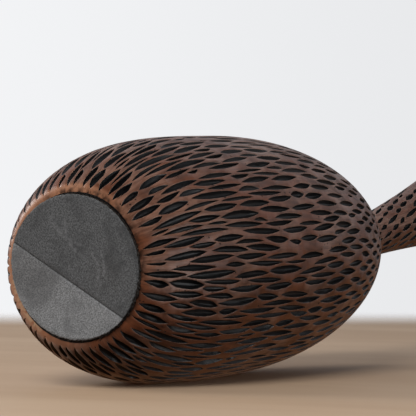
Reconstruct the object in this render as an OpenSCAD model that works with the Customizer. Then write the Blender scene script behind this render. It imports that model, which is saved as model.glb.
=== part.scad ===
// Tall black clay vase with a pinched throat, a leaning neck and a felt pad under its foot.
// It stands upright on z = 0. The z axis runs up the middle of the belly.
// Every piece is closed, and neighbours share their faces exactly.

/* [Belly] */
// Greatest outer radius of the belly, over its coat
belly_r = 61; // [50:1:75]
// Height of the widest ring
belly_mid = 127; // [115:1:135]
// Half length of the curve that the belly follows below its widest ring
belly_low = 144; // [140:1:160]
// Half length of the curve that the belly follows above its widest ring
belly_high = 149; // [147:1:160]
// Fullness of the lower curve, where 2 is an ellipse
low_fullness = 3.65; // [2:0.05:4]
// Fullness of the upper curve, where 2 is an ellipse
high_fullness = 1.94; // [1.8:0.02:2.2]
// Thickness of the belly wall
belly_wall = 6; // [4:0.5:8]
// Thickness of the floor
floor_t = 8; // [5:0.5:12]

/* [Neck] */
// Height of the cut rim where the belly ends
rim_z = 271; // [269:1:272]
// Height of the roll of clay that joins the neck to the belly
luting_h = 5; // [4:0.5:8]
// Outer radius of the neck at the throat, over its coat
throat_r = 10.8; // [10:0.2:13]
// Outer radius of the mouth, over its coat
mouth_r = 21; // [18:0.5:30]
// Length of the neck along its own axis
neck_len = 122; // [100:1:140]
// Lean of the neck away from upright, in degrees
neck_lean = 8.2; // [0:0.2:10]
// Thickness of the neck wall
neck_wall = 3.6; // [3:0.2:5]

/* [Foot] */
// Radius of the felt pad and of the flat that it is glued to
pad_r = 35; // [30:1:36]
// Thickness of the felt
pad_t = 1.8; // [1:0.1:4]
// Thickness of the glue between the felt and the foot
glue_t = 0.2; // [0.1:0.1:0.5]
// Radius of the rounded edge of the foot
foot_round = 6; // [4:0.5:8]
// Distance of the seam between the two pieces of felt from the middle
seam_off = 6.8; // [0:0.2:20]
// Direction of that seam, in degrees from the x axis
seam_turn = 32.6; // [0:0.2:90]

/* [Coat] */
// Thickness of the burnished copper-brown coat over the clay
coat_t = 0.6; // [0.4:0.1:1]

/* [Hidden] */
$fn = 128;

black_clay = "#1b1b1d";
copper = "#7a4a33";
grey_felt = "#585655";
dark_glue = "#2a2725";

belly_bands = 36;    // cone bands from the foot to the rim
fillet_bands = 6;
neck_bands = 16;
edge_bands = 6;      // bands round the edge of the foot and round the lip
foot_turn = 51;      // degrees of arc from the flat of the foot to the belly's own slope
neck_flare = 1.5;    // power of the curve by which the neck widens
neck_root = 4;       // length of neck below its cut, which the cut takes away

foot_z = pad_t + glue_t;
foot_top = foot_z + foot_round * (1 - cos(foot_turn));
foot_in = belly_radius(foot_top, 0) - foot_round * sin(foot_turn);
rest_r = pad_r + 0.3;
neck_z = rim_z + luting_h;
bore_r = throat_r - coat_t - neck_wall;
lip_r = neck_wall / 2;
lip_t = neck_len - lip_r - coat_t;
inner_skin = coat_t + belly_wall;

// Radius of the belly at height z, for the surface that lies inset below the outside.
function belly_radius(z, inset) =
    let (low = z < belly_mid,
         half = (low ? belly_low : belly_high) - inset,
         power = low ? low_fullness : high_fullness,
         share = min(1, abs(z - belly_mid) / half))
    (belly_r - inset) * sqrt(1 - pow(share, power));

// Points of the belly's outline from height a to height b.
function belly_points(a, b, inset) =
    [for (i = [0 : belly_bands])
        let (z = a + (b - a) * i / belly_bands)
        [belly_radius(z, inset), z]];

// Points round the edge of the foot, from its flat out to the belly.
function foot_points(inset) =
    [for (i = [0 : edge_bands - 1])
        let (turn = foot_turn * i / edge_bands)
        [foot_in + (foot_round - inset) * sin(turn),
         foot_z + foot_round - (foot_round - inset) * cos(turn)]];

// Points of the hollow curve that carries the shoulder up into the neck.
function fillet_points(inset) =
    let (start = [belly_radius(rim_z, inset), rim_z],
         end = [throat_r - inset, neck_z],
         bend = [throat_r - inset, (rim_z + neck_z) / 2])
    [for (i = [0 : fillet_bands])
        let (t = i / fillet_bands)
        start * pow(1 - t, 2) + bend * 2 * t * (1 - t) + end * pow(t, 2)];

// Radius of the neck at a distance along its own axis, for the surface inset below the outside.
function neck_radius(along, inset) =
    throat_r - inset + (mouth_r - throat_r) * pow(max(0, along) / neck_len, neck_flare);

function neck_points(a, b, inset) =
    [for (i = [0 : neck_bands])
        let (along = a + (b - a) * i / neck_bands)
        [neck_radius(along, inset), along]];

// Points round the lip, from the outside over to the bore.
function lip_points(inset) =
    let (middle = neck_radius(lip_t, coat_t + lip_r), round = lip_r + coat_t - inset)
    [for (i = [1 : 2 * edge_bands - 1])
        let (turn = 180 * i / (2 * edge_bands))
        [middle + round * cos(turn), lip_t + round * sin(turn)]];

function reversed(points) = [for (i = [len(points) - 1 : -1 : 0]) points[i]];

// A neck shape, leaned over and cut level where it stands on the luting ring.
module leaned_neck() {
    intersection() {
        translate([0, 0, neck_z]) rotate([neck_lean, 0, 0]) children();
        translate([-2 * belly_r, -2 * belly_r, neck_z]) cube([4 * belly_r, 4 * belly_r, 2 * neck_len]);
    }
}

module half_pad(side) {
    intersection() {
        cylinder(h = pad_t, r = pad_r);
        rotate([0, 0, seam_turn])
            translate([-2 * pad_r, side > 0 ? seam_off : seam_off - 4 * pad_r, -pad_t])
                cube([4 * pad_r, 4 * pad_r, 3 * pad_t]);
    }
}

// Thrown black clay body with its floor.
module belly() {
    floor_z = foot_z + floor_t;
    cavity_top = belly_mid + (belly_high - inner_skin)
        * pow(1 - pow(bore_r / (belly_r - inner_skin), 2), 1 / high_fullness);
    color(black_clay) rotate_extrude() polygon(concat(
        [[0, foot_z], [rest_r, foot_z], [rest_r, foot_z + coat_t]],
        foot_points(coat_t),
        belly_points(foot_top, rim_z, coat_t),
        [[bore_r, rim_z]],
        reversed(belly_points(floor_z, cavity_top, inner_skin)),
        [[0, floor_z]]));
}

// Roll of clay that was pressed into the corner between the belly and the neck.
module luting_ring() {
    color(black_clay) rotate_extrude() polygon(concat(
        fillet_points(coat_t),
        [[bore_r, neck_z], [bore_r, rim_z]]));
}

// Flaring neck, thrown apart from the belly.
module neck() {
    color(black_clay) leaned_neck() rotate_extrude() polygon(concat(
        [[throat_r - coat_t, -neck_root]],
        neck_points(0, lip_t, coat_t),
        lip_points(coat_t),
        reversed(neck_points(0, lip_t, coat_t + neck_wall)),
        [[bore_r, -neck_root]]));
}

// Coat over the belly, from the edge of the felt to the top of the luting ring.
module belly_coat() {
    color(copper) rotate_extrude() polygon(concat(
        [[rest_r, foot_z]],
        foot_points(0),
        belly_points(foot_top, rim_z, 0),
        fillet_points(0),
        reversed(fillet_points(coat_t)),
        reversed(belly_points(foot_top, rim_z, coat_t)),
        reversed(foot_points(coat_t)),
        [[rest_r, foot_z + coat_t]]));
}

// Coat over the neck and its lip.
module neck_coat() {
    color(copper) leaned_neck() rotate_extrude() polygon(concat(
        [[throat_r, -neck_root]],
        neck_points(0, lip_t, 0),
        lip_points(0),
        [[neck_radius(lip_t, 2 * coat_t + neck_wall), lip_t],
         [neck_radius(lip_t, coat_t + neck_wall), lip_t]],
        reversed(lip_points(coat_t)),
        reversed(neck_points(0, lip_t, coat_t)),
        [[throat_r - coat_t, -neck_root]]));
}

// Film of glue that holds the felt.
module glue_bed() {
    color(dark_glue) translate([0, 0, pad_t]) cylinder(h = glue_t, r = pad_r);
}

module felt_pad_large() {
    color(grey_felt) half_pad(-1);
}

module felt_pad_small() {
    color(grey_felt) half_pad(1);
}

belly();
luting_ring();
neck();
belly_coat();
neck_coat();
glue_bed();
felt_pad_large();
felt_pad_small();
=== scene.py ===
# A tall carved black clay vase with a copper-brown coat, standing on its felt pad. The camera is laid over,
# so that the vase seems to lie on its side on a pale table.
# Shapes are made in millimetres in the row frame and turned into metres as each mesh is built.
import math
import bmesh
import bpy
import numpy as np
from mathutils import Matrix, Vector
from mathutils.geometry import delaunay_2d_cdt


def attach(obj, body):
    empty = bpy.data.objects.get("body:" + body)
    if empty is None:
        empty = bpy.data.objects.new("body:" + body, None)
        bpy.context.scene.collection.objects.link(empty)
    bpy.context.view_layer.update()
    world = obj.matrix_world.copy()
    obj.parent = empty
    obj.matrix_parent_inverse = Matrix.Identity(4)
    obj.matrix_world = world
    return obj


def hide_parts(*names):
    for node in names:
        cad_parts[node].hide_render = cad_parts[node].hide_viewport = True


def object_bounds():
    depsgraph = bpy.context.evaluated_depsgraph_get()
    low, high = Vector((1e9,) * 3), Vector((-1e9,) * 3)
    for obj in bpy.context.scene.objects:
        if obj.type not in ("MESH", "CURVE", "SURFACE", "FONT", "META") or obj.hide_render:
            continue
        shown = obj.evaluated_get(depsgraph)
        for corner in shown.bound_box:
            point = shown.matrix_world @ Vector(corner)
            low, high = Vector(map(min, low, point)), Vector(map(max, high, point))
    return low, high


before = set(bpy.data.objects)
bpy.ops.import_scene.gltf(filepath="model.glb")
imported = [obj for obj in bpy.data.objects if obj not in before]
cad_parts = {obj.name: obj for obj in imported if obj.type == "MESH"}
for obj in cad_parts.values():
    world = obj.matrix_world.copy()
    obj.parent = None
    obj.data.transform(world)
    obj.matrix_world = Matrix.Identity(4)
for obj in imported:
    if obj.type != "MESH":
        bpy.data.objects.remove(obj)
cad_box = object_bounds()
rng = np.random.default_rng(7)

# Sizes of the CAD model, in millimetres
BELLY_R, BELLY_MID, BELLY_LOW, BELLY_HIGH = 61, 127, 144, 149
LOW_FULLNESS, HIGH_FULLNESS = 3.65, 1.94
BELLY_WALL, FLOOR_T, COAT_T = 6, 8, 0.6
PAD_R, PAD_T, GLUE_T, REST_R = 35, 1.8, 0.2, 35.3
FOOT_ROUND, FOOT_TURN = 6, math.radians(51)
RIM_Z, NECK_Z, THROAT_R = 271, 276, 10.8
MOUTH_R, NECK_LEN, NECK_WALL, NECK_LEAN = 21, 122, 3.6, math.radians(8.2)
FLARE = 1.5
SEAM_OFF, SEAM_TURN = 6.8, math.radians(32.6)
FOOT_Z = PAD_T + GLUE_T
BORE_R = THROAT_R - COAT_T - NECK_WALL
LIP_R = NECK_WALL / 2
LIP_AT = NECK_LEN - LIP_R - COAT_T

# How the shapes are made. Lengths are in millimetres.
METRE = 1000
SEGMENTS = 96       # points in each full circle that bounds a surface
TURNS = np.arange(SEGMENTS) * 2 * np.pi / SEGMENTS
CURVE_STEPS = 24    # points along each tight curve of the belly's outline
BELLY_STEPS = 400   # points up the rest of the belly's outline
NECK_STEPS = 300    # points up the neck's outline
LEAN_LENGTH = 10    # length of neck over which its rings tip over to its lean
SIDE = 9            # stations along a gouge between its two tips
UNEVEN = 0.05       # share by which a gouge's sides waver
NEIGHBOURS = 12     # gouges that each gouge keeps clear of
FIT_ROUNDS = 60     # rounds in which the gouges grow and shrink to fit
LEAST_SIZE = 0.25   # least half length and half width of a gouge
LEAST_COAT = 0.54   # least width of the coat between gouges on the belly
BEVEL = 0.14        # width of the burnished edge round a gouge
BEVEL_TIP = 0.2     # length of that edge beyond the gouge's tips
EDGE_DEPTH = 0.07   # depth of that edge's inner side under the skin
DEPTH_SHARE = 0.5   # depth of a hollow as a share of its gouge's width
MERGE = 1e-7        # distance on the flat ring at which two points would be one
GRAIN_R = 50        # radius of the cylinder that the grain is wrapped on
FELT_RAGGED = 0.24  # how far the felt's cut edge strays
FELT_COLUMNS, FELT_ROWS = 121, 26
GLUE_SEGMENTS = 720


def add_object(name, data):
    made = bpy.data.objects.new(name, data)
    bpy.context.scene.collection.objects.link(made)
    return made


def belly_radius(z, inset=0.0):
    """Radius at height z of the surface that lies inset below the belly's skin."""
    z = np.asarray(z, float)
    low = z < BELLY_MID
    half = np.where(low, BELLY_LOW, BELLY_HIGH) - inset
    power = np.where(low, LOW_FULLNESS, HIGH_FULLNESS)
    share = np.clip(np.abs(z - BELLY_MID) / half, 0, 1)
    return (BELLY_R - inset) * np.sqrt(1 - share ** power)


def neck_radius(along, inset=0.0):
    """Radius at a length along the neck of the surface inset below its skin."""
    return THROAT_R - inset + (MOUTH_R - THROAT_R) * (np.maximum(along, 0) / NECK_LEN) ** FLARE


def wrapped(turn):
    """The same turn, from minus half a circle to half a circle."""
    return turn - 2 * np.pi * np.round(turn / (2 * np.pi))


def stations():
    """Places round a gouge, from its lower tip at -1 up to its upper tip at 1 and back down."""
    x = -np.cos(np.pi * np.arange(SIDE + 2) / (SIDE + 1))
    return np.concatenate([x, x[-2:0:-1]])


def between_stops(stops, values):
    """A function of s that runs straight from value to value."""
    return lambda s: np.interp(s, stops, values)


class Surface:
    """A turned surface. A place on it is given by its length s along the outline, its turn and its depth."""

    def __init__(self, outline, lean=0.0, base=0.0):
        self.r, self.z = np.array(outline, float).T
        step = np.hypot(np.diff(self.r), np.diff(self.z))
        self.s = np.concatenate([[0], np.cumsum(step)])
        self.tr, self.tz = np.gradient(self.r, self.s), np.gradient(self.z, self.s)
        size = np.hypot(self.tr, self.tz)
        self.tr, self.tz = self.tr / size, self.tz / size
        mean_r = (self.r[1:] + self.r[:-1]) / 2
        self.u = np.concatenate([[0], np.cumsum(step / mean_r)])
        self.end = self.s[-1]
        self.lean, self.base = lean, base

    def radius(self, s):
        return np.interp(s, self.s, self.r)

    def at_height(self, z):
        return np.interp(z, self.z, self.s)

    def flat(self, s, turn):
        """The same place on a flat ring that keeps every angle."""
        rho = np.exp(np.interp(s, self.s, self.u))
        return np.stack([rho * np.cos(turn), rho * np.sin(turn)], -1)

    def place(self, s, turn, depth):
        """Points in the row frame."""
        r, z = np.interp(s, self.s, self.r), np.interp(s, self.s, self.z)
        tr, tz = np.interp(s, self.s, self.tr), np.interp(s, self.s, self.tz)
        return self.leaned(r - depth * tz, z + depth * tr, turn, z)

    def leaned(self, r, z, turn, along):
        """Points at radius r and height z of a surface that leans. Its rings tip over bit by bit."""
        lean = self.lean * np.clip(along / LEAN_LENGTH, 0, 1)
        x, y = r * np.cos(turn), r * np.sin(turn)
        off = z - along
        cy, cz = -along * math.sin(self.lean), along * math.cos(self.lean)
        return np.stack([x, cy + y * np.cos(lean) - off * np.sin(lean),
                         self.base + cz + y * np.sin(lean) + off * np.cos(lean)], -1)


def belly_outline():
    """The belly from the edge of the felt up to the top of the luting ring, as (r, z) places."""
    foot_top = FOOT_Z + FOOT_ROUND * (1 - math.cos(FOOT_TURN))
    foot_in = belly_radius(foot_top) - FOOT_ROUND * math.sin(FOOT_TURN)
    points = [(REST_R, FOOT_Z)]
    for t in np.linspace(0, FOOT_TURN, CURVE_STEPS, endpoint=False):
        points.append((foot_in + FOOT_ROUND * math.sin(t), FOOT_Z + FOOT_ROUND * (1 - math.cos(t))))
    for z in np.linspace(foot_top, RIM_Z, BELLY_STEPS):
        points.append((belly_radius(z), z))
    start, end = points[-1], (THROAT_R, NECK_Z)
    bend = (THROAT_R, (RIM_Z + NECK_Z) / 2)
    for t in np.linspace(0, 1, CURVE_STEPS)[1:]:
        points.append(tuple(a * (1 - t) ** 2 + 2 * b * t * (1 - t) + c * t * t
                            for a, b, c in zip(start, bend, end)))
    return points


class Gouges:
    """Leaf-shaped cuts. Each has its widest place at (s, turn), its reach and width both ways, and a tilt."""

    def __init__(self, surface, s, turn, tilt, reach, width, power):
        self.on, self.s, self.turn, self.tilt = surface, s, turn, tilt
        self.reach, self.width, self.power = reach, width, power
        self.wave = self.s * 7.0 + self.turn * 11.0

    def outline(self, grow=0.0, lengthen=0.0):
        """Points round each gouge from its lower tip, up one side and down the other, as (s, turn)."""
        y = np.concatenate([[0], np.ones(SIDE), [0], -np.ones(SIDE)])
        return self.points(stations()[None], y[None], grow, lengthen)

    def points(self, x, y, grow=0.0, lengthen=0.0):
        """Places in each gouge, from x along it and y across it, both from -1 to 1, as (s, turn)."""
        reach, width = self.reach + lengthen, self.width + grow
        a = x * np.where(x < 0, reach[:, :1], reach[:, 1:])
        b = y * np.where(y < 0, width[:, :1], width[:, 1:]) * (1 - np.abs(x) ** self.power[:, None])
        b = b * (1 + UNEVEN * np.sin(5 * x + 2 * y + self.wave[:, None]))
        return self.unturned(a, b)

    def unturned(self, a, b):
        """Places as (s, turn), from lengths a along each gouge and b across it."""
        c, n = np.cos(self.tilt)[:, None], np.sin(self.tilt)[:, None]
        s = self.s[:, None] + a * c - b * n
        return s, self.turn[:, None] + (a * n + b * c) / self.on.radius(s)

    def gap_from(self, s, turn, near):
        """Distance of each point from each of the gouges in near. It is negative inside one."""
        ds = s[:, None] - self.s[near][..., None]
        dn = wrapped(turn[:, None] - self.turn[near][..., None]) * self.on.radius(s)[:, None]
        c, n = np.cos(self.tilt)[near][..., None], np.sin(self.tilt)[near][..., None]
        a, b = ds * c + dn * n, dn * c - ds * n
        low, high = self.reach[near, 0][..., None], self.reach[near, 1][..., None]
        inside = np.clip(a, -low, high)
        share = np.abs(inside) / np.where(inside < 0, low, high)
        side = np.where(b < 0, self.width[near, 0][..., None], self.width[near, 1][..., None])
        off = np.abs(b) - side * (1 - share ** self.power[near][..., None])
        past = np.abs(a - inside)
        return np.where(past > 0, np.hypot(past, np.maximum(off, 0)), off)

    def clearance(self, near):
        """For each point of each outline, its distance from the nearest of the gouges in near."""
        return self.gap_from(*self.outline(), near).min(1)

    def between(self, rows, around, least):
        """Places on rings of points that lie at least so far from every gouge."""
        turns = np.arange(around) * 2 * np.pi / around
        s, turn = (v.ravel() for v in np.meshgrid(rows, turns, indexing="ij"))
        gap = self.gap_from(s[None], turn[None], np.arange(len(self.s))[None]).min(1)[0]
        return s[gap > least], turn[gap > least]

    def neighbours(self, count):
        """The nearest gouges to each, by places stretched so that a gouge's length counts as its width."""
        stretch = 4.0
        r = self.on.radius(self.s)
        ds = (self.s[:, None] - self.s[None]) / stretch
        dn = wrapped(self.turn[:, None] - self.turn[None]) * (r[:, None] + r[None]) / 2
        far = np.hypot(ds, dn)
        np.fill_diagonal(far, np.inf)
        return np.argsort(far, 1)[:, :count]

    def centre(self, most_reach):
        """Moves the widest place of each gouge towards its longer end. Its tips and their limits stay."""
        move = 0.25 * (self.reach[:, 1] - self.reach[:, 0])
        self.reach += np.stack([move, -move], -1)
        most_reach += np.stack([move, -move], -1)
        self.s = self.s + move * np.cos(self.tilt)
        self.turn = self.turn + move * np.sin(self.tilt) / self.on.radius(self.s)

    def fit(self, gap, most_reach, most_width):
        """Grows and shrinks each gouge until the coat left round it is about gap wide."""
        near = self.neighbours(NEIGHBOURS)
        x = stations()
        up = np.arange(len(x))
        broad = np.abs(x) < 0.8      # the stations that a change of width moves
        parts = [(self.width, 0, broad & (up > SIDE + 1), most_width[:, 0]),
                 (self.width, 1, broad & (up > 0) & (up <= SIDE), most_width[:, 1]),
                 (self.reach, 0, x < -0.6, most_reach[:, 0]),
                 (self.reach, 1, x > 0.6, most_reach[:, 1])]
        for k in range(FIT_ROUNDS):
            free = self.clearance(near) - gap[:, None]
            fastest = 1.0 if k > 0.7 * FIT_ROUNDS else 1.06      # nothing grows in the last rounds
            for values, side, mask, most in parts:
                step = np.clip(1 + 0.08 * free[:, mask].min(1) / gap, 0.9, fastest)
                values[:, side] = np.clip(values[:, side] * step, LEAST_SIZE, most)
            if k == FIT_ROUNDS // 3:
                self.centre(most_reach)
        slim = (0.15 + 0.4 * self.reach.min(1)) / self.width.max(1)     # a short end makes a slim gouge
        self.width *= np.minimum(1, slim)[:, None]


def rings(start, end, spacing, around, length):
    """Staggered rings of places from s = start to end. spacing, around and length are functions of s."""
    places, s, k = [], start, 0
    while s < end:
        count = int(round(around(s)))
        shift = 0.5 * (k % 2)
        for i in range(count):
            places.append((s, 2 * math.pi * (i + shift) / count, spacing(s), length(s), count))
        s += spacing(s)
        k += 1
    return np.array(places).T


def belly_gouges(surface):
    """The belly's gouges. They are longest and widest low down, and short and narrow near the throat."""
    stops = [0, 20, 60, 120, 170, 200, 235, 262, 285]
    spacing = between_stops(stops, [12.6, 13.5, 15, 15, 13.5, 11.5, 9.5, 7.2, 5])
    longest = between_stops(stops, [20, 27, 30, 27, 21, 16, 11, 7.5, 4.5])
    widest = between_stops(stops, [3.5, 4.0, 3.9, 3.5, 3.2, 2.9, 2.5, 2.0, 1.5])
    around = between_stops([0, 22, 60, 150, 200, 240, 290], [54, 53, 51, 48, 44, 43, 30])
    coat_left = between_stops([0, 60, 150, 230, 285], [0.68, 0.76, 0.74, 0.68, 0.6])
    s, turn, step, length, count = rings(11.6, surface.end - 12.5, spacing, around, longest)
    n = len(s)
    s = s + rng.normal(0, 0.11, n) * step
    turn = turn + rng.normal(0, 0.10, n) * (2 * np.pi / count)
    flow = 0.035 * np.sin(1.7 * turn + s / 31 + 1) + 0.03 * np.sin(3 * turn - s / 19)
    pulled_side = np.angle(np.exp(1j * (turn + 1.1)))
    foot_pull = -0.09 * np.exp(-(pulled_side / 0.9) ** 2) * np.exp(-s / 60)
    tilt = flow + foot_pull + rng.normal(0, 0.03, n)
    most = length[:, None] * rng.uniform(0.46, 0.66, (n, 2))
    first = s < 18
    most[first] *= rng.uniform(0.7, 1.0, (first.sum(), 1))
    uncut = 0.7 * (1 - np.cos(turn - 0.5))      # more coat is left round the felt on one side
    most[:, 0] = np.minimum(most[:, 0], s - 1.3 - uncut - rng.uniform(0, 0.8, n))
    most_w = widest(s)[:, None] * rng.uniform(0.42, 0.64, (n, 2))
    small = rng.random(n) < 0.03
    most[small] *= 0.45
    most_w[small] *= 0.6
    made = Gouges(surface, s, turn, tilt, 0.5 * most, 0.4 * most_w, rng.uniform(1.9, 2.8, n))
    made.fit(np.maximum(coat_left(s) * rng.uniform(0.8, 1.3, n), LEAST_COAT), most, most_w)
    return made


def neck_gouges(surface):
    """The neck's gouges. They all lean one way, and widen towards the mouth."""
    spacing = between_stops([0, 30, 130], [8.5, 11, 13])
    longest = between_stops([0, 20, 50, 130], [12, 19, 23, 23])
    widest = between_stops([0, 20, 60, 130], [1.7, 2.3, 3.1, 3.5])
    s, turn, step, length, count = rings(8, LIP_AT - 4, spacing, lambda s: 16, longest)
    n = len(s)
    s = s + rng.normal(0, 0.10, n) * step
    turn = turn + rng.normal(0, 0.09, n) * 2 * np.pi / count
    tilt = -0.24 + 0.05 * np.sin(2 * turn + s / 17) + rng.normal(0, 0.04, n)
    most = length[:, None] * rng.uniform(0.42, 0.62, (n, 2))
    most[:, 0] = np.minimum(most[:, 0], np.maximum(s - 4, 1.5))
    most[:, 1] = np.minimum(most[:, 1], np.maximum(LIP_AT - 2.5 - s, 1.5))
    most_w = widest(s)[:, None] * rng.uniform(0.4, 0.62, (n, 2))
    made = Gouges(surface, s, turn, tilt, 0.5 * most, 0.4 * most_w, rng.uniform(1.75, 2.4, n))
    made.fit(rng.uniform(0.6, 0.85, n), most, most_w)
    return made


class Build:
    """A mesh in the making, with a grain vector, a value that marks the cuts' edges and a material number
    kept beside it.
    """

    def __init__(self):
        self.points, self.grain, self.cut_edge = [], [], []
        self.faces, self.kinds = [], []
        self.count = 0

    def add(self, points, s, turn, cut_edge=0.0):
        """Adds points in the row frame, which lie at s and turn on their surface, and gives their numbers."""
        points = np.asarray(points, float)
        shape = points.shape[:-1]
        s, turn = np.broadcast_to(s, shape), np.broadcast_to(turn, shape)
        grain = np.stack([GRAIN_R * np.cos(turn), GRAIN_R * np.sin(turn), s], -1)
        self.points.append(points.reshape(-1, 3))
        self.grain.append(grain.reshape(-1, 3))
        self.cut_edge.append(np.broadcast_to(float(cut_edge), shape).ravel())
        at = self.count + np.arange(int(np.prod(shape))).reshape(shape)
        self.count += at.size
        return at

    def lay(self, surface, s, turn, depth, cut_edge=0.0):
        """Adds points at a depth under the skin of a surface."""
        return self.add(surface.place(s, turn, depth), s, turn, cut_edge)

    def put(self, faces, kind=0):
        """Adds triangles of one material number, given as the numbers of their points."""
        faces = np.asarray(faces).reshape(-1, 3)
        self.faces.append(faces)
        self.kinds.append(np.full(len(faces), kind))

    def strip(self, low, high, kind=0, closed=True):
        """Two triangles between each pair of neighbours in two rows of points. Rows may come in batches."""
        low, high = np.atleast_2d(low), np.atleast_2d(high)
        if closed:
            low, high = (np.concatenate([x, x[:, :1]], 1) for x in (low, high))
        a, b, c, d = low[:, :-1], low[:, 1:], high[:, 1:], high[:, :-1]
        self.put(np.concatenate([np.stack(f, -1).reshape(-1, 3) for f in ((a, b, c), (a, c, d))]), kind)

    def strips(self, rows):
        """Joins each circle of points to the next."""
        for low, high in zip(rows, rows[1:]):
            self.strip(low, high)

    def cap(self, row, z, s):
        """Closes a circle of points with a fan round a point on the axis at height z."""
        centre = self.add([[0, 0, z]], s, 0)
        self.put(np.stack([row, np.roll(row, -1), np.full(len(row), centre[0])], -1))

    def finish(self, name, materials, sharp=35):
        """The object, in metres, with edges over sharp degrees left sharp."""
        points = np.vstack(self.points) / METRE
        faces, kinds = np.vstack(self.faces), np.concatenate(self.kinds)
        real = (faces[:, 0] != faces[:, 1]) & (faces[:, 1] != faces[:, 2]) & (faces[:, 2] != faces[:, 0])
        faces, kinds = faces[real], kinds[real]
        mesh = bpy.data.meshes.new(name)
        mesh.vertices.add(len(points))
        mesh.vertices.foreach_set("co", points.astype(np.float32).ravel())
        mesh.loops.add(faces.size)
        mesh.loops.foreach_set("vertex_index", faces.astype(np.int32).ravel())
        mesh.polygons.add(len(faces))
        mesh.polygons.foreach_set("loop_start", np.arange(0, faces.size, 3, dtype=np.int32))
        mesh.polygons.foreach_set("material_index", kinds.astype(np.int32))
        mesh.update(calc_edges=True)
        mesh.validate()
        grain = mesh.attributes.new("grain", "FLOAT_VECTOR", "POINT")
        grain.data.foreach_set("vector", (np.vstack(self.grain) / METRE).astype(np.float32).ravel())
        cut_edge = mesh.attributes.new("cut_edge", "FLOAT", "POINT")
        cut_edge.data.foreach_set("value", np.concatenate(self.cut_edge).astype(np.float32))
        body = bmesh.new()
        body.from_mesh(mesh)
        bmesh.ops.recalc_face_normals(body, faces=body.faces)
        body.to_mesh(mesh)
        body.free()
        mesh.shade_smooth()
        mesh.set_sharp_from_angle(angle=math.radians(sharp))
        for m in materials:
            mesh.materials.append(m)
        return add_object(name, mesh)


def triangulate(surface, loops, circles, loose=None):
    """Triangles between closed loops of points, as (s, turn) arrays, and full circles at given s.

    Gives indices into the loops' points, then the circles' points, then the loose points. The inside of each
    loop is left open.
    """
    s, turn = loops
    count, size = s.shape
    rows = [surface.flat(s, turn).reshape(-1, 2)]
    owner = [np.repeat(np.arange(count), size)]
    start = np.arange(count * size).reshape(count, size)
    edges = [np.stack([start, np.roll(start, -1, 1)], -1).reshape(-1, 2)]
    at = count * size
    for k, c in enumerate(circles):
        rows.append(surface.flat(np.full(SEGMENTS, c), TURNS))
        owner.append(np.full(SEGMENTS, count + k))
        ring = at + np.arange(SEGMENTS)
        edges.append(np.stack([ring, np.roll(ring, -1)], -1))
        at += SEGMENTS
    if loose is not None:
        rows.append(surface.flat(*loose))
        owner.append(-1 - np.arange(len(loose[0])))
    points, owner = np.vstack(rows), np.concatenate(owner)
    edges = [tuple(map(int, e)) for e in np.vstack(edges)]
    made = delaunay_2d_cdt([Vector(p) for p in points], edges, [], 0, MERGE, True)
    if len(made[0]) != len(points):
        raise RuntimeError("two gouges run into each other")
    back = np.array([ids[0] for ids in made[3]])
    faces = back[np.array(made[2])]
    own = owner[faces]
    same = (own[:, 0] == own[:, 1]) & (own[:, 1] == own[:, 2])
    faces = faces[~(same & (own[:, 0] <= count))]
    a, b, c = points[faces[:, 0]], points[faces[:, 1]], points[faces[:, 2]]
    clockwise = (b[:, 0] - a[:, 0]) * (c[:, 1] - a[:, 1]) < (b[:, 1] - a[:, 1]) * (c[:, 0] - a[:, 0])
    # a mirror image on the ring, so that the faces look outwards on the pot
    faces[~clockwise] = faces[~clockwise][:, ::-1]
    return faces


def cut_floor(gouges):
    """The same gouges where they pass through the coat into the clay."""
    reach = gouges.reach - np.minimum(0.9, 0.2 * gouges.reach)
    width = gouges.width - np.minimum(0.17, 0.14 * gouges.width)
    return Gouges(gouges.on, gouges.s, gouges.turn, gouges.tilt, reach, width, gouges.power)


def add_rings(build, surface, path, first, last=None):
    """Carries a full circle of points on through (r, z) places, to the circle last if it is given."""
    row = first
    for r, z in path:
        new = build.add(surface.leaned(r, z, TURNS, z), z, TURNS)
        build.strip(row, new)
        row = new
    if last is not None:
        build.strip(row, last)
    return row


def add_circles(build, surface, circles, depth):
    """Full circles of points at each s in circles, at a depth under the skin."""
    return [build.lay(surface, np.full(SEGMENTS, c), TURNS, depth) for c in circles]


def make_coat(name, surface, gouges, floor, circles, back_faces, materials, lip=(), loose=None):
    """The burnished coat: its skin, the bevelled edge and dark wall of each cut, and its back on the clay."""
    build = Build()
    s, turn = gouges.outline(BEVEL, BEVEL_TIP)
    outer = build.lay(surface, s, turn, 0.0)
    top = add_circles(build, surface, circles, 0.0)
    if loose is not None:
        build.lay(surface, *loose, 0.0)
    build.put(triangulate(surface, (s, turn), circles, loose))
    edge = build.lay(surface, *gouges.outline(), EDGE_DEPTH, 1.0)
    build.strip(outer, edge)
    inner = build.lay(surface, *floor.outline(), COAT_T)
    build.strip(edge, inner, 1)
    under = add_circles(build, surface, circles, COAT_T)
    back = np.concatenate([inner.ravel()] + under)
    build.put(back[back_faces])
    build.strip(top[0], under[0])
    add_rings(build, surface, lip, top[-1], under[-1])
    return build.finish(name, materials)


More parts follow.
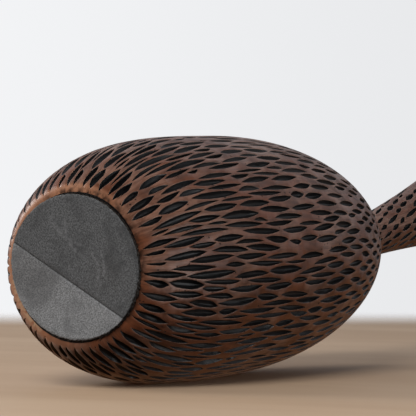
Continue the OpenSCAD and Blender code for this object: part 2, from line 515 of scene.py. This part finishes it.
def make_clay(name, surface, floor, circles, back_faces, foot, bore, material):
    """The clay wall: its outside under the coat, the hollow of each gouge, and the inside of the pot.

    foot and bore are paths of (r, z) places. Without a foot the wall is open at both ends.
    """
    build = Build()
    rim = build.lay(surface, *floor.outline(), COAT_T)
    count = len(floor.s)
    under = add_circles(build, surface, circles, COAT_T)
    build.put(back_faces)
    y = np.array([-0.8, -0.45, 0.0, 0.45, 0.8])
    grid_x, grid_y = (v.ravel()[None] for v in np.meshgrid(stations()[1:SIDE + 1], y, indexing="ij"))
    deep = DEPTH_SHARE * floor.width.sum(1)[:, None] * rng.uniform(0.85, 1.15, (count, 1))
    lowest = rng.uniform(-0.18, 0.18, (count, 1))
    off = grid_y - lowest
    section = 1 - np.abs(np.clip(off / (1 - lowest * np.sign(off)), -1, 1)) ** 2.4
    depth = COAT_T + deep * (1 - np.abs(grid_x) ** 2.6) ** 0.8 * section
    bowl = build.lay(surface, *floor.points(grid_x, grid_y), depth).reshape(count, SIDE, len(y))
    k = np.arange(1, SIDE + 1)
    across = np.concatenate([rim[:, 2 * (SIDE + 1) - k, None], bowl, rim[:, k, None]], 2)
    for j in range(SIDE - 1):
        build.strip(across[:, j], across[:, j + 1], closed=False)
    for tip, row in ((rim[:, 0], across[:, 0]), (rim[:, SIDE + 1], across[:, -1])):
        build.strip(row, np.broadcast_to(tip[:, None], row.shape), closed=False)
    if foot:
        for path, first in ((foot, under[0]), (bore, under[-1])):
            z = path[-1][1]
            build.cap(add_rings(build, surface, path, first), z, z)
    else:
        add_rings(build, surface, bore, under[-1], under[0])
    return build.finish(name, [material])


def neck_outline():
    """The neck from its foot up to where the lip starts to round over, as (r, length) places."""
    return [(neck_radius(a), a) for a in np.linspace(0, LIP_AT, NECK_STEPS)]


def lip_points(round_by):
    """Points over the lip, from the outside to the bore, at a distance from the middle of its wall."""
    middle = neck_radius(LIP_AT, COAT_T + LIP_R)
    return [(middle + round_by * math.cos(t), LIP_AT + round_by * math.sin(t))
            for t in np.radians(np.arange(15, 166, 15))]


def lip_path():
    """The coat over the lip, out over the top, in on the bore side and back along the clay."""
    middle = neck_radius(LIP_AT, COAT_T + LIP_R)
    turned_in = [(middle - LIP_R - COAT_T, LIP_AT), (middle - LIP_R, LIP_AT)]
    return lip_points(LIP_R + COAT_T) + turned_in + lip_points(LIP_R)[::-1]


def neck_bore():
    """The clay's own lip and the inside of the neck, down to its foot."""
    bore = [(neck_radius(a, COAT_T + NECK_WALL), a) for a in np.linspace(LIP_AT, 0, 26)]
    return lip_points(LIP_R) + bore


def belly_inside():
    """The inside of the belly, from the rim down the wall and in over the floor."""
    skin, floor_z = COAT_T + BELLY_WALL, FOOT_Z + FLOOR_T
    share = 1 - (BORE_R / (BELLY_R - skin)) ** 2
    top = BELLY_MID + (BELLY_HIGH - skin) * share ** (1 / HIGH_FULLNESS)
    wall = [(belly_radius(z, skin), z) for z in np.linspace(top, floor_z, 40)]
    inner = wall[-1][0]
    return [(BORE_R, RIM_Z)] + wall + [(inner * k, floor_z) for k in (0.7, 0.4, 0.15)]


# Materials

def nodes_of(name, **values):
    """A new material with its node tree and shader. values set the shader's own sockets."""
    made = bpy.data.materials.new(name)
    made.use_nodes = True
    tree = made.node_tree
    shader = next(n for n in tree.nodes if n.type == "BSDF_PRINCIPLED")
    for key, value in values.items():
        shader.inputs[key.replace("_", " ")].default_value = value
    return made, tree, shader


def feed(tree, shader, **values):
    """Links values to the shader's sockets of those names."""
    for key, value in values.items():
        tree.links.new(value, shader.inputs[key.replace("_", " ")])


def set_socket(tree, socket, value):
    if isinstance(value, bpy.types.NodeSocket):
        tree.links.new(value, socket)
    else:
        socket.default_value = value


def node(tree, kind, inputs=None, **settings):
    made = tree.nodes.new(kind)
    for key, value in settings.items():
        setattr(made, key, value)
    for key, value in (inputs or {}).items():
        set_socket(tree, made.inputs[key], value)
    return made


def attribute(tree, name, output):
    return node(tree, "ShaderNodeAttribute", attribute_name=name).outputs[output]


def object_place(tree):
    return node(tree, "ShaderNodeTexCoord").outputs["Object"]


def noise(tree, vector, scale, detail=4.0, rough=0.55, warp=0.0):
    inputs = {"Vector": vector, "Scale": scale, "Detail": detail, "Roughness": rough, "Distortion": warp}
    return node(tree, "ShaderNodeTexNoise", inputs).outputs["Fac"]


def ramp(tree, value, low, high, to_low=0.0, to_high=1.0):
    """A smooth step from to_low, where value is low, to to_high, where it is high."""
    inputs = {"Value": value, "From Min": low, "From Max": high, "To Min": to_low, "To Max": to_high}
    return node(tree, "ShaderNodeMapRange", inputs, interpolation_type="SMOOTHSTEP").outputs["Result"]


def mix(tree, share, a, b):
    made = node(tree, "ShaderNodeMix", data_type="RGBA")
    for key, value in (("Factor", share), ("A", a), ("B", b)):
        set_socket(tree, next(s for s in made.inputs if s.name == key and s.enabled), value)
    return next(s for s in made.outputs if s.enabled)


def combine(tree, how, a, b):
    return node(tree, "ShaderNodeMath", {0: a, 1: b}, operation=how).outputs[0]


def times(tree, a, b):
    return combine(tree, "MULTIPLY", a, b)


def vector_math(tree, how, a, b=(0, 0, 0), output=0):
    return node(tree, "ShaderNodeVectorMath", {0: a, 1: b}, operation=how).outputs[output]


def dot(tree, vector, way):
    return vector_math(tree, "DOT_PRODUCT", vector, way, "Value")


def band(tree, value, middle, width):
    """1 where value is at the middle, and 0 from width away on either side."""
    return times(tree, ramp(tree, value, middle - width, middle), ramp(tree, value, middle + width, middle))


def stretched(tree, vector, x, y, z):
    return node(tree, "ShaderNodeMapping", {"Vector": vector, "Scale": (x, y, z)}).outputs[0]


def bump(tree, height, distance, strength=1.0, normal=None):
    inputs = {"Height": height, "Distance": distance, "Strength": strength}
    if normal is not None:
        inputs["Normal"] = normal
    return node(tree, "ShaderNodeBump", inputs).outputs[0]


def rgb(red, green, blue):
    """A colour as read off a screen, from 0 to 255, in the renderer's own linear scale."""
    linear = [((c / 255 + 0.055) / 1.055) ** 2.4 if c > 10 else c / 255 / 12.92 for c in (red, green, blue)]
    return (*linear, 1.0)


# The coat's red-brown and grey-brown grounds, and what lies over them
COAT_RED, COAT_GREY = rgb(120, 70, 46), rgb(140, 102, 84)
COAT_CLOUD, COAT_STREAK, COAT_HOLE = rgb(90, 55, 40), rgb(70, 45, 34), rgb(16, 14, 14)
# the foot's pale colour stands partly for handling and partly for painted light on its lit side
FOOT_HANDLED_AND_LIT, FOOT_DARKER, FOOT_WORN = rgb(184, 130, 98), rgb(40, 27, 20), rgb(196, 166, 134)
EDGE_PALE = rgb(196, 160, 138)
# the pale way is the side of the foot that is handled and also painted as lit
LIT_HANDLED_WAY, WORN_WAY = (-0.86, -0.5), (-0.86, 0.5)  # sides of the foot, as directions from its middle

CLAY_DARK, CLAY_PALE = rgb(9, 9, 10), rgb(20, 20, 21)
GLUE_DARK, GLUE_FLUFF = rgb(30, 27, 25), rgb(70, 63, 57)

# The felt: darkest and palest fibre of each piece and of a stain, and its marks. Both pieces are one felt;
# the small piece is painted paler, as painted sheen off its nap, which runs another way.
LARGE_DARK, LARGE_PALE = rgb(60, 61, 62), rgb(112, 113, 114)
SMALL_SHEEN_DARK, SMALL_SHEEN_PALE = rgb(102, 103, 104), rgb(162, 163, 164)
STAIN_DARK, STAIN_PALE = rgb(62, 61, 61), rgb(104, 103, 103)
FELT_ARC_PALE, FELT_SPECK, SEAM_DIRT_AND_SHADE = rgb(165, 165, 167), rgb(36, 36, 37), rgb(30, 30, 30)
# the dark seam line is partly grime and partly painted shade in the gap between the pieces
SEAM_SHADE_LINE = 0.0005  # half width of the dark line along the seam, in metres

# Strokes on the felt: middle of the circle, radius and width in metres, direction and half angle
FELT_ARCS = [((0.002, 0.002), 0.0115, 0.0014, -0.2, 1.0), ((0.000, 0.000), 0.0165, 0.0012, 0.1, 0.7),
             ((-0.004, 0.008), 0.0145, 0.0013, 1.5, 0.8), ((0.012, -0.020), 0.016, 0.0020, 2.6, 0.8),
             ((-0.027, 0.006), 0.0085, 0.0013, 1.7, 0.9), ((0.010, -0.034), 0.024, 0.0018, 2.2, 0.6)]


def copper_coat():
    """Burnished copper-brown slip: patches, streaks along the pot, pinholes, cut edges paler in patches, and
    a worn foot with painted light on its pale side.
    """
    made, tree, shader = nodes_of("copper_coat", Roughness=0.4, Specular_IOR_Level=0.5)
    grain, cut_edge = attribute(tree, "grain", "Vector"), attribute(tree, "cut_edge", "Fac")
    along = node(tree, "ShaderNodeSeparateXYZ", {0: grain}).outputs["Z"]
    patches = noise(tree, grain, 38, 3)
    streaks = noise(tree, stretched(tree, grain, 700, 700, 60), 1, 5, 0.6)
    clouds = noise(tree, stretched(tree, grain, 1, 1, 0.5), 130, 4, 0.6, 0.6)
    rough = noise(tree, grain, 420, 3)
    base = mix(tree, ramp(tree, patches, 0.40, 0.60), COAT_RED, COAT_GREY)
    base = mix(tree, ramp(tree, clouds, 0.40, 0.68, 0.0, 0.8), base, COAT_CLOUD)
    base = mix(tree, ramp(tree, streaks, 0.42, 0.68, 0.0, 0.6), base, COAT_STREAK)

    # the foot's edge is paler on one side, partly where it was handled and partly painted light where the
    # lamps fall on it; darker in noisy patches close to the felt, most on the side away from the worn place;
    # and worn through in one place
    lit_handled_side, worn_side = (dot(tree, grain, (x / GRAIN_R * METRE, y / GRAIN_R * METRE, 0))
                            for x, y in (LIT_HANDLED_WAY, WORN_WAY))
    # painted light: the foot is paler on the side where the lamps fall, as well as where it was handled
    handled_and_lit = times(tree, ramp(tree, lit_handled_side, -0.8, 0.5), ramp(tree, along, 0.0052, 0.0024))
    base = mix(tree, times(tree, handled_and_lit, 0.7), base, FOOT_HANDLED_AND_LIT)
    # darker in noisy patches close to the felt, most on the side away from the worn place
    foot_darker = times(tree, ramp(tree, along, 0.0040, 0.0004), ramp(tree, noise(tree, grain, 240, 4), 0.34, 0.60))
    foot_darker = times(tree, foot_darker, ramp(tree, worn_side, 0.5, -0.6, 0.15, 0.9))
    base = mix(tree, foot_darker, base, FOOT_DARKER)
    worn = times(tree, ramp(tree, worn_side, 0.86, 0.97), ramp(tree, along, 0.0028, 0.0010))
    worn = times(tree, worn, ramp(tree, rough, 0.40, 0.55))
    base = mix(tree, times(tree, worn, 0.6), base, FOOT_WORN)

    # the edges of the cuts are paler in patches, and pinholes lie in groups
    pale_edge = times(tree, ramp(tree, cut_edge, 0.1, 0.9), ramp(tree, rough, 0.36, 0.56))
    base = mix(tree, times(tree, pale_edge, 0.9), base, EDGE_PALE)
    cells = node(tree, "ShaderNodeTexVoronoi", {"Vector": grain, "Scale": 260}).outputs
    groups = ramp(tree, noise(tree, grain, 90, 2), 0.49, 0.55)
    hole = times(tree, ramp(tree, cells["Distance"], 0.14, 0.09), groups)
    base = mix(tree, hole, base, COAT_HOLE)

    gloss = ramp(tree, clouds, 0.3, 0.7, 0.33, 0.47)
    fine = noise(tree, stretched(tree, grain, 900, 900, 150), 1, 4, 0.6)
    normal = bump(tree, noise(tree, grain, 160, 2), 0.0004, 0.15)
    normal = bump(tree, fine, 0.00008, 0.5, normal)
    normal = bump(tree, hole, -0.0003, 0.8, normal)
    feed(tree, shader, Base_Color=base, Normal=normal,
         Roughness=combine(tree, "ADD", gloss, times(tree, hole, 0.4)))
    return made


def black_clay():
    """Reduced black clay, satin where the tool has drawn over it, with the tool's lines along each cut."""
    made, tree, shader = nodes_of("black_clay", Roughness=0.42, Specular_IOR_Level=0.5)
    grain = attribute(tree, "grain", "Vector")
    lines = noise(tree, stretched(tree, grain, 1500, 1500, 90), 1, 4, 0.6)
    grit = noise(tree, grain, 900, 4, 0.65)
    normal = bump(tree, grit, 0.0001, 0.5, bump(tree, lines, 0.00025, 0.6))
    feed(tree, shader, Base_Color=mix(tree, ramp(tree, grit, 0.35, 0.75), CLAY_DARK, CLAY_PALE),
         Roughness=ramp(tree, lines, 0.3, 0.7, 0.34, 0.52), Normal=normal)
    return made


def clay_by_place():
    """The same black clay for a piece that has no grain of its own."""
    made, tree, shader = nodes_of("black_clay_ring", Roughness=0.45, Specular_IOR_Level=0.5)
    grit = noise(tree, object_place(tree), 900, 4, 0.65)
    feed(tree, shader, Base_Color=mix(tree, ramp(tree, grit, 0.35, 0.75), CLAY_DARK, CLAY_PALE),
         Roughness=ramp(tree, grit, 0.3, 0.7, 0.36, 0.54), Normal=bump(tree, grit, 0.0002, 0.6))
    return made


def dark_glue():
    """Dark brown glue with felt fluff in it."""
    made, tree, shader = nodes_of("dark_glue", Roughness=0.5, Specular_IOR_Level=0.4)
    fluff = noise(tree, object_place(tree), 900, 4, 0.7)
    feed(tree, shader, Base_Color=mix(tree, ramp(tree, fluff, 0.4, 0.75), GLUE_DARK, GLUE_FLUFF),
         Roughness=ramp(tree, fluff, 0.3, 0.7, 0.4, 0.75), Normal=bump(tree, fluff, 0.0005, 0.8))
    return made


def arc_mark(tree, place, centre, radius, width, toward, spread):
    """A soft stroke along part of a circle, in the plane of the felt. toward is the way to its middle."""
    off = vector_math(tree, "SUBTRACT", place, (*centre, 0))
    flat = vector_math(tree, "MULTIPLY", off, (1, 1, 0))
    far = vector_math(tree, "LENGTH", flat, output="Value")
    way = vector_math(tree, "NORMALIZE", flat)
    side = dot(tree, way, (math.cos(toward), math.sin(toward), 0))
    return times(tree, band(tree, far, radius, width),
                 ramp(tree, side, math.cos(spread), math.cos(spread * 0.5)))


def grey_felt(name, dark, pale, turn, stain, reach, strength):
    """Wool felt: matted fibres that run along turn, smudges, a stain round a place, and pale arcs."""
    made, tree, shader = nodes_of(name, Roughness=0.95, Specular_IOR_Level=0.2, Sheen_Weight=0.2,
                                  Sheen_Roughness=0.6)
    place = object_place(tree)
    turned = node(tree, "ShaderNodeMapping", {"Vector": place, "Rotation": (0, 0, turn)}).outputs[0]
    fibres = noise(tree, stretched(tree, turned, 1700, 1250, 1500), 1, 3, 0.6, 0.6)
    specks = noise(tree, place, 2300, 2, 0.6)
    smudges = noise(tree, place, 75, 4, 0.6, 0.8)
    fibre = ramp(tree, fibres, 0.32, 0.68)
    base = mix(tree, fibre, dark, pale)
    base = mix(tree, ramp(tree, smudges, 0.42, 0.68, 0.0, 0.65), base, dark)
    off = vector_math(tree, "DISTANCE", place, (*stain, 0), "Value")
    base = mix(tree, ramp(tree, off, reach, reach * 0.2, 0.0, strength), base,
               mix(tree, fibre, STAIN_DARK, STAIN_PALE))
    marks = None
    for arc in FELT_ARCS:
        mark = arc_mark(tree, place, *arc)
        marks = mark if marks is None else combine(tree, "MAXIMUM", marks, mark)
    marks = times(tree, marks, ramp(tree, noise(tree, place, 500, 3), 0.35, 0.6))
    base = mix(tree, times(tree, marks, 0.22), base, FELT_ARC_PALE)
    base = mix(tree, ramp(tree, specks, 0.60, 0.74, 0.0, 0.5), base, FELT_SPECK)
    beyond = dot(tree, place, (-math.sin(SEAM_TURN), math.cos(SEAM_TURN), 0))
    # painted shade and grime: a dark line along the seam, for its dirt and for the shade in the gap between
    # the pieces
    base = mix(tree, times(tree, band(tree, beyond, SEAM_OFF / METRE, SEAM_SHADE_LINE), 0.85), base, SEAM_DIRT_AND_SHADE)
    normal = bump(tree, specks, 0.0002, 0.5, bump(tree, fibres, 0.0003, 0.6))
    feed(tree, shader, Base_Color=base, Normal=normal)
    return made


# Felt and glue under the foot

def ripple(x, y, seed, waves, short, long):
    """A smooth uneven field between about -1 and 1, from plane waves of short to long wavelength."""
    own = np.random.default_rng(seed)
    total = 0
    for _ in range(waves):
        a, size = own.uniform(0, 2 * np.pi), own.uniform(short, long)
        total = total + np.sin(2 * np.pi * (x * np.cos(a) + y * np.sin(a)) / size + own.uniform(0, 2 * np.pi))
    return total / math.sqrt(waves / 2) / 1.6


def ragged(turn, seed, counts):
    """An uneven line round a circle. counts are how many waves go round."""
    own = np.random.default_rng(seed)
    waves = (np.sin(c * turn + own.uniform(0, 2 * np.pi)) * own.uniform(0.5, 1) for c in counts)
    return sum(waves) / len(counts) ** 0.5


def bead_width(turn):
    """Mean width of the bead of glue outside the felt. It is widest on one side."""
    return 0.12 + 0.5 * (0.5 + 0.5 * np.cos(turn - math.radians(35)))


def felt_edge(turn):
    """Radius of the felt with its bead of glue. It is cut a little oval."""
    return PAD_R * (1 + 0.024 * np.cos(2 * (turn - math.radians(26))))


def felt_outline(side, seed):
    """The arc and the chord of one piece of felt, as rows of (x, y) places from end to end."""
    normal = SEAM_TURN + math.pi / 2
    half = math.acos(SEAM_OFF / PAD_R)
    ends = (normal - half, normal + half) if side > 0 else (normal + half, normal - half + 2 * math.pi)
    turn = ends[0] + (ends[1] - ends[0]) * np.linspace(0, 1, FELT_COLUMNS)
    rough = ragged(turn, seed, range(23, 150, 9)) * FELT_RAGGED
    arc = (felt_edge(turn) - bead_width(turn) + rough)[:, None] * np.stack([np.cos(turn), np.sin(turn)], -1)
    seam_gap = 0.12 + 0.04 * ragged(np.linspace(0, 6, FELT_COLUMNS), seed + 1, range(3, 30, 4))
    shift = (SEAM_OFF + side * seam_gap)[:, None] * np.array([math.cos(normal), math.sin(normal)])
    along = np.array([math.cos(SEAM_TURN), math.sin(SEAM_TURN)])
    share = (1 - np.cos(np.linspace(0, math.pi, FELT_COLUMNS))) / 2
    chord = shift + (arc[0] @ along + share * (arc[-1] @ along - arc[0] @ along))[:, None] * along
    return arc, chord


def round_edge(grid):
    """The entries along the edge of a grid, in order."""
    return np.concatenate([grid[0], grid[1:, -1], grid[-1, -2::-1], grid[-2:0:-1, 0]])


def make_felt(name, side, seed, material):
    """One piece of felt. side is 1 for the small piece and -1 for the large one."""
    arc, chord = felt_outline(side, seed)
    v = np.linspace(0, 1, FELT_ROWS)[:, None, None]
    grid = arc[None] * v + chord[None] * (1 - v)
    centre = grid.mean((0, 1))
    boundary = np.ones(grid.shape[:2], bool)
    boundary[1:-1, 1:-1] = False
    pulled = grid - np.where(boundary[..., None], (grid - centre) * 0.008, 0)
    x, y = pulled[..., 0], pulled[..., 1]
    lumps = 0.05 + 0.03 * ripple(x, y, seed + 2, 14, 5, 22) + 0.015 * ripple(x, y, seed + 3, 14, 1.6, 4)
    low = np.where(boundary, 0.30, np.clip(lumps, 0, 0.2))
    build = Build()
    under = build.add(np.stack([x, y, low], -1), 0, 0)
    over = build.add(np.stack([x, y, np.full_like(x, PAD_T)], -1), 0, 0)
    build.strip(under[:-1], under[1:], closed=False)
    build.strip(over[:-1], over[1:], closed=False)
    edge = round_edge(grid)
    rows = [round_edge(under)]
    for z in (0.55, 1.0, 1.45):
        fuzz = 1 + 0.0025 * np.sin(np.arange(len(edge)) * (1.7 + z)) * (z == 1.0)
        place = np.concatenate([centre + (edge - centre) * fuzz[:, None], np.full((len(edge), 1), z)], 1)
        rows.append(build.add(place, 0, 0))
    rows.append(round_edge(over))
    build.strips(rows)
    return build.finish(name, [material], 60)


def make_glue(name, material):
    """The film of glue between felt and foot, with the bead that was pressed out round the felt."""
    build = Build()
    turn = np.arange(GLUE_SEGMENTS) * 2 * np.pi / GLUE_SEGMENTS
    wide = bead_width(turn)
    edge = felt_edge(turn) - wide
    drips = 0.9 * ragged(turn, 31, (5, 9, 14, 23, 37, 61)) + 0.6 * ragged(turn, 32, (83, 101, 137, 171))
    outer = edge + wide * np.clip(1 + 0.75 * drips, 0.35, 2.6)
    outer = outer + 0.35 * wide * np.clip(ragged(turn, 34, (47, 61, 89, 113, 131)), 0, 1.6) ** 2
    low = np.clip(1.25 - 0.6 * wide + 0.22 * ragged(turn, 33, (7, 13, 29, 47, 71)), 0.5, 1.7)
    loops = [(edge * 0.6, PAD_T), (edge - 0.9, PAD_T), (edge - 0.05, PAD_T), (edge + 0.04, low),
             (edge + 0.6 * (outer - edge), low + 0.04), (outer, low + 0.35), (outer, FOOT_Z - 0.06),
             (outer - 0.08, FOOT_Z), (edge * 0.6, FOOT_Z)]
    rows = []
    for r, z in loops:
        z = np.broadcast_to(z, r.shape)
        rows.append(build.add(np.stack([r * np.cos(turn), r * np.sin(turn), z], -1), 0, turn))
    build.strips(rows)
    build.cap(rows[0], PAD_T, 0)
    build.cap(rows[-1], FOOT_Z, 0)
    return build.finish(name, [material])


# Camera. It looks along the pot's side at the foot, rolled over so that the pot lies down. In metres.

LOOK_TURN, ROLL = math.radians(30.5), math.radians(3.05)
CAMERA_AT = Vector((0.669, -0.0244, -1.010))
ahead = Vector((-math.sin(LOOK_TURN), 0, math.cos(LOOK_TURN)))
level = Vector((math.cos(LOOK_TURN), 0, math.sin(LOOK_TURN)))
right = level * math.cos(ROLL) + Vector((0, math.sin(ROLL), 0))
up = Vector((0, -math.cos(ROLL), 0)) + level * math.sin(ROLL)
middle = (cad_box[0] + cad_box[1]) / 2

TABLE_WOOD = rgb(196, 166, 137), rgb(208, 180, 152)
FLOOR_PALE = rgb(222, 216, 208), rgb(230, 225, 218)
SKY_FRONT, SKY_BACK = rgb(60, 60, 62), rgb(160, 164, 170)
TABLE_FRONT, TABLE_BACK = rgb(62, 43, 30), rgb(112, 80, 54)
WALL_LEFT, WALL_RIGHT = rgb(243, 244, 246), rgb(232, 233, 235)


def make_camera():
    data = bpy.data.cameras.new("camera")
    data.lens, data.sensor_width = 225, 36
    data.clip_start, data.clip_end = 0.05, 20
    made = add_object("camera", data)
    axes = (right, up, -ahead, CAMERA_AT)
    made.matrix_world = Matrix([[a[i] for a in axes] for i in range(3)] + [(0, 0, 0, 1)])
    bpy.context.scene.camera = made


def one_sided(name, colour, rough, grain, fades=(), glow=0.0):
    """A stage surface that shows from its front only. A fade is a direction and where it starts and ends."""
    made, tree, shader = nodes_of(name, Roughness=rough, Specular_IOR_Level=0.25, Emission_Strength=glow)
    place = object_place(tree)
    figure = noise(tree, stretched(tree, place, *grain), 1, 4, 0.6, 0.4)
    shown = mix(tree, ramp(tree, figure, 0.3, 0.7), *colour)
    feed(tree, shader, Base_Color=shown, Emission_Color=shown)
    hidden = node(tree, "ShaderNodeNewGeometry").outputs["Backfacing"]
    for way, first, last in fades:
        hidden = combine(tree, "MAXIMUM", hidden, ramp(tree, dot(tree, place, way), first, last))
    clear = node(tree, "ShaderNodeBsdfTransparent")
    both = node(tree, "ShaderNodeMixShader", {0: hidden, 1: shader.outputs[0], 2: clear.outputs[0]})
    out = next(n for n in tree.nodes if n.type == "OUTPUT_MATERIAL")
    feed(tree, out, Surface=both.outputs[0])
    return made


def stage_plane(name, corners, material):
    """A flat stage surface that the camera sees, and that throws neither light nor shadow on the pot."""
    mesh = bpy.data.meshes.new(name)
    mesh.from_pydata([tuple(c) for c in corners], [], [(0, 1, 2, 3)])
    mesh.materials.append(material)
    obj = add_object(name, mesh)
    obj.visible_diffuse = obj.visible_glossy = obj.visible_transmission = obj.visible_shadow = False


def area_light(name, at, size, power, colour):
    """A soft light that looks at the middle of the vase."""
    data = bpy.data.lights.new(name, "AREA")
    data.shape = "RECTANGLE"
    data.size, data.size_y = size
    data.energy, data.color = power, colour
    made = add_object(name, data)
    made.location = at
    made.rotation_euler = (middle - at).to_track_quat("-Z", "Y").to_euler()
    made.visible_camera = False
    return made


def make_world():
    """Near-white to the eye. Its light is pale behind and above the pot, dim in front and warm below."""
    world = bpy.data.worlds.new("studio")
    bpy.context.scene.world = world
    world.use_nodes = True
    tree = world.node_tree
    tree.nodes.clear()
    way = node(tree, "ShaderNodeTexCoord").outputs["Generated"]
    behind = ramp(tree, dot(tree, way, ahead), -0.3, 0.8)
    above = ramp(tree, dot(tree, way, up), -0.25, 0.25)
    across = ramp(tree, dot(tree, way, right), -0.12, 0.12)
    sky = mix(tree, behind, SKY_FRONT, SKY_BACK)
    lit = mix(tree, above, mix(tree, behind, TABLE_FRONT, TABLE_BACK), sky)
    wall = mix(tree, across, WALL_LEFT, WALL_RIGHT)
    light, seen = (node(tree, "ShaderNodeBackground", {"Color": colour}) for colour in (lit, wall))
    ray = node(tree, "ShaderNodeLightPath").outputs["Is Camera Ray"]
    both = node(tree, "ShaderNodeMixShader", {0: ray, 1: light.outputs[0], 2: seen.outputs[0]})
    feed(tree, node(tree, "ShaderNodeOutputWorld"), Surface=both.outputs[0])


def piece(obj, slot, *nodes):
    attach(obj, "root")
    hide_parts(*nodes)
    return obj


# The vase

clay = black_clay()
skins = [copper_coat(), clay]     # the coat, and the wall of a cut

belly = Surface(belly_outline())
cuts = belly_gouges(belly)
floor = cut_floor(cuts)
rim_s = belly.at_height(RIM_Z)
clay_circles = [0, 0.3, 0.6, 0.9] + list(np.linspace(rim_s - 3, rim_s, 3))
circles = clay_circles + list(np.linspace(rim_s, belly.end, 7)[1:])
back = triangulate(belly, floor.outline(), circles)
on_the_round = cuts.between(np.array([1.5, 2.1, 2.7, 3.4, 4.2, 5.0, 6.0, 7.2]), 160, BEVEL + 0.3)
piece(make_coat("belly_coat_carved", belly, cuts, floor, circles, back, skins, loose=on_the_round),
      "copper_coat", "belly_coat")
below_rim = floor.s.size * 2 * (SIDE + 1) + len(clay_circles) * SEGMENTS
clay_back = back[(back < below_rim).all(1)]
under_foot = [(REST_R, FOOT_Z), (24, FOOT_Z), (12, FOOT_Z)]
piece(make_clay("belly_carved", belly, floor, clay_circles, clay_back, under_foot, belly_inside(), clay),
      "black_clay", "belly")

neck = Surface(neck_outline(), NECK_LEAN, NECK_Z)
cuts = neck_gouges(neck)
floor = cut_floor(cuts)
circles = [0, 1.2, 2.4, neck.end - 1, neck.end]
back = triangulate(neck, floor.outline(), circles)
piece(make_coat("neck_coat_carved", neck, cuts, floor, circles, back, skins, lip_path()),
      "copper_coat", "neck_coat")
piece(make_clay("neck_carved", neck, floor, circles, back, [], neck_bore(), clay), "black_clay", "neck")

piece(make_glue("glue_bead", dark_glue()), "dark_glue", "glue_bed")
large_look = grey_felt("grey_felt_large", LARGE_DARK, LARGE_PALE, turn=0.5,
                       stain=(0.017, 0.004), reach=0.013, strength=0.35)
# painted sheen: the small piece is the same felt as the large one, painted paler for the light off its nap
small_sheen_look = grey_felt("grey_felt_small", SMALL_SHEEN_DARK, SMALL_SHEEN_PALE, turn=2.0,
                       stain=(-0.023, 0.001), reach=0.022, strength=0.5)
large = piece(make_felt("felt_large", -1, 51, large_look), "grey_felt", "felt_pad_large")
small = piece(make_felt("felt_small", 1, 71, small_sheen_look), "grey_felt", "felt_pad_small")
ring_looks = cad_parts["luting_ring"].data.materials
ring_looks.clear()
ring_looks.append(clay_by_place())


# The stage: a pale table against the pot's side, as it lies, and a pale floor under its foot. In metres.

make_camera()
beside = CAMERA_AT - up * 0.085     # a point on the table, straight under the camera


def on_table(x, z):
    return Vector((x, beside.y - ((x - beside.x) * up.x + (z - beside.z) * up.z) / up.y, z))


eye = CAMERA_AT.dot(ahead)
table_fades = [(ahead, eye + 1.86, eye + 2.14), ((1, 0, 0), 0.21, 0.275)]
stage_plane("table", [on_table(x, z) for x, z in ((-0.6, -0.25), (0.28, -0.25), (0.28, 1.0), (-0.6, 1.0))],
            one_sided("table_wood", TABLE_WOOD, 0.6, (2, 9, 9), table_fades))
stage_plane("floor", [(x, y, -0.0005) for x, y in ((-0.6, -0.6), (0.6, -0.6), (0.6, 0.6), (-0.6, 0.6))],
            one_sided("floor_pale", FLOOR_PALE, 0.7, (4, 4, 4), glow=0.35))
make_world()
area_light("key", middle + up * 0.55 - right * 1.3 + ahead * 0.35, (0.7, 0.7), 10, (1.0, 0.98, 0.95))
area_light("back", middle + up * 0.8 + ahead * 0.9, (1.2, 0.7), 0.35, (0.95, 0.98, 1.0))
foot_light = area_light("foot", middle - ahead * 1.35 + up - right * 0.6, (0.8, 0.8), 20, (1.0, 0.99, 0.98))
foot_light.visible_glossy = False     # it lights the felt and leaves no glints round it
area_light("side", middle + right * 1.2 - ahead * 0.55 + up * 0.05, (0.9, 0.9), 4.8, (0.96, 0.98, 1.0))
area_light("bounce", middle + ahead * 0.45 - up * 0.75 - right * 1.1, (1.1, 1.1), 2.6, (1.0, 0.86, 0.72))
bpy.context.scene.view_settings.view_transform = "Standard"
